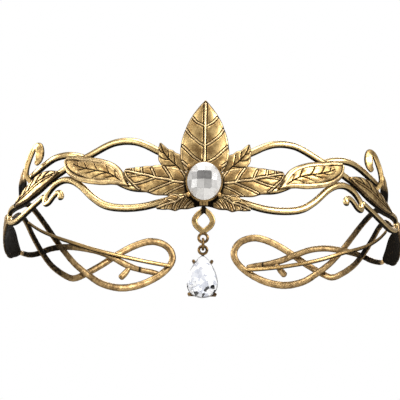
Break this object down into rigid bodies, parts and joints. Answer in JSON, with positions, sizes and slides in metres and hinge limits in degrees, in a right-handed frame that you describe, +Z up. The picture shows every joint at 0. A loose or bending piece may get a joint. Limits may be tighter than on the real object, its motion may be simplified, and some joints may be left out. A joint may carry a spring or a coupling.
{
  "type": "tiara",
  "caption": "Antique gold leaf and vine circlet, open at the back, with an oval brow stone above a twisted loop and a hanging pear-cut drop.",
  "frame": {"origin": "middle of the round wall that the band follows, at the height of the band's middle", "axes": "+Z up through the crown of the head, -Y out of the brow, +X to the right of someone facing the brow"},
  "size_m": [0.147, 0.1543, 0.0631],
  "materials": {
    "gold": "antiqued cast gold-tone metal, worn bright on the raised parts",
    "dark_gold": "hammered gold-tone metal under dark patina",
    "brow_stone": "checkerboard cut, foil backed",
    "clear_stone": "clear pear cut"
  },
  "bodies": {
    "circlet": {"centre_leaf": "gold", "upper_leaf_left": "gold", "upper_leaf_right": "gold", "side_leaf_left": "gold", "side_leaf_right": "gold", "lower_leaf_left": "gold", "lower_leaf_right": "gold", "stone_setting": "gold", "centre_stone": "brow_stone", "pendant_loop": "gold", "upper_strand_left": "gold", "upper_strand_right": "gold", "middle_strand_left": "gold", "middle_strand_right": "gold", "lower_strand_left": "gold", "lower_strand_right": "gold", "end_loop_left": "dark_gold", "end_loop_right": "dark_gold", "weave_strand_left": "dark_gold", "weave_strand_right": "dark_gold", "stay_wire_left": "dark_gold", "stay_wire_right": "dark_gold", "front_leaf_left": "gold", "front_leaf_right": "gold", "temple_leaf_left": "gold", "temple_leaf_right": "gold", "temple_ring_left": "gold", "temple_ring_right": "gold", "ear_leaf_left": "dark_gold", "ear_leaf_right": "dark_gold", "nape_leaf_left": "dark_gold", "nape_leaf_right": "dark_gold"},
    "jump_ring": {"jump_ring": "gold"},
    "drop": {"drop_setting": "gold", "drop_stone": "clear_stone"}
  },
  "joints": [
    {"name": "jump_ring_swing", "type": "hinge", "parent": "circlet", "child": "jump_ring", "pos_m": [0, -0.079, -0.02337], "axis": [1, 0, 0], "range_deg": [-60, 60]},
    {"name": "drop_swing", "type": "hinge", "parent": "jump_ring", "child": "drop", "pos_m": [0, -0.079, -0.0255], "axis": [0, 1, 0], "range_deg": [-60, 60]}
  ]
}
